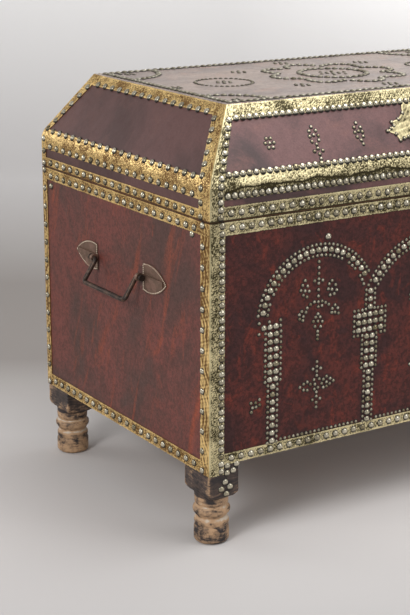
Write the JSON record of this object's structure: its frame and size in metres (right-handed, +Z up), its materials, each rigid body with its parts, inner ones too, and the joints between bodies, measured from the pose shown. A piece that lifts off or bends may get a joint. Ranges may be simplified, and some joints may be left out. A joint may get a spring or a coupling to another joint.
{
  "type": "dowry chest",
  "caption": "Leather-covered wooden dowry chest on turned feet, with a hipped lid, brass strips, dome nails in an arcade, a hasp, hinges and swinging end handles.",
  "frame": {"origin": "centre of the footprint, on the floor", "axes": "+X along the front to the right, -Y out of the front, +Z up"},
  "size_m": [0.8874, 0.5525, 0.6634],
  "materials": {
    "board_wood": "matte",
    "foot_wood": "worn",
    "hide": "satin",
    "strip_brass": "embossed",
    "nail_brass": "polished",
    "iron": "rough"
  },
  "bodies": {
    "carcass": {"base_board": "board_wood", "front_board": "board_wood", "back_board": "board_wood", "left_board": "board_wood", "right_board": "board_wood", "front_leather": "hide", "back_leather": "hide", "left_leather": "hide", "right_leather": "hide", "foot_front_left": "foot_wood", "foot_front_right": "foot_wood", "foot_back_left": "foot_wood", "foot_back_right": "foot_wood", "corner_strip_front_left": "strip_brass", "corner_strip_front_right": "strip_brass", "corner_strip_back_left": "strip_brass", "corner_strip_back_right": "strip_brass", "rim_strips": "strip_brass", "base_strips": "strip_brass", "lock_plate": "strip_brass", "hasp_staple": "strip_brass", "hinge_leaves_lower": "iron", "hinge_pins": "iron", "handle_plates_left": "iron", "handle_plates_right": "iron", "handle_eyes_left": "iron", "handle_eyes_right": "iron", "front_large_nails": "nail_brass", "front_small_nails": "nail_brass", "left_nails": "nail_brass", "right_nails": "nail_brass", "back_nails": "nail_brass"},
    "lid": {"lid_rail_front": "board_wood", "lid_rail_back": "board_wood", "lid_rail_left": "board_wood", "lid_rail_right": "board_wood", "lid_slope_front": "board_wood", "lid_slope_back": "board_wood", "lid_slope_left": "board_wood", "lid_slope_right": "board_wood", "lid_top_board": "board_wood", "lid_top_leather": "hide", "lid_band_leathers": "hide", "lid_slope_leathers": "hide", "lid_edge_strips": "strip_brass", "lid_knee_strips": "strip_brass", "lid_top_strips": "strip_brass", "lid_hip_strips": "strip_brass", "star_plate": "strip_brass", "hasp_hanger": "strip_brass", "hinge_leaves_upper": "iron", "lid_front_large_nails": "nail_brass", "lid_side_nails": "nail_brass", "lid_small_nails": "nail_brass", "lid_top_large_nails": "nail_brass"},
    "hasp": {"hasp": "strip_brass"},
    "bail_left": {"bail_left": "iron"},
    "bail_right": {"bail_right": "iron"}
  },
  "joints": [
    {"name": "lid_hinge", "type": "hinge", "parent": "carcass", "child": "lid", "pos_m": [0, 0.266, 0.504], "axis": [-1, 0, 0], "range_deg": [0, 100]},
    {"name": "hasp_hinge", "type": "hinge", "parent": "lid", "child": "hasp", "pos_m": [0, -0.24539, 0.59728], "axis": [-1, 0, 0], "range_deg": [0, 120]},
    {"name": "bail_left_swing", "type": "hinge", "parent": "carcass", "child": "bail_left", "pos_m": [-0.417, 0, 0.385], "axis": [0, 1, 0], "range_deg": [-36, 110]},
    {"name": "bail_right_swing", "type": "hinge", "parent": "carcass", "child": "bail_right", "pos_m": [0.417, 0, 0.385], "axis": [0, -1, 0], "range_deg": [-36, 110]}
  ]
}
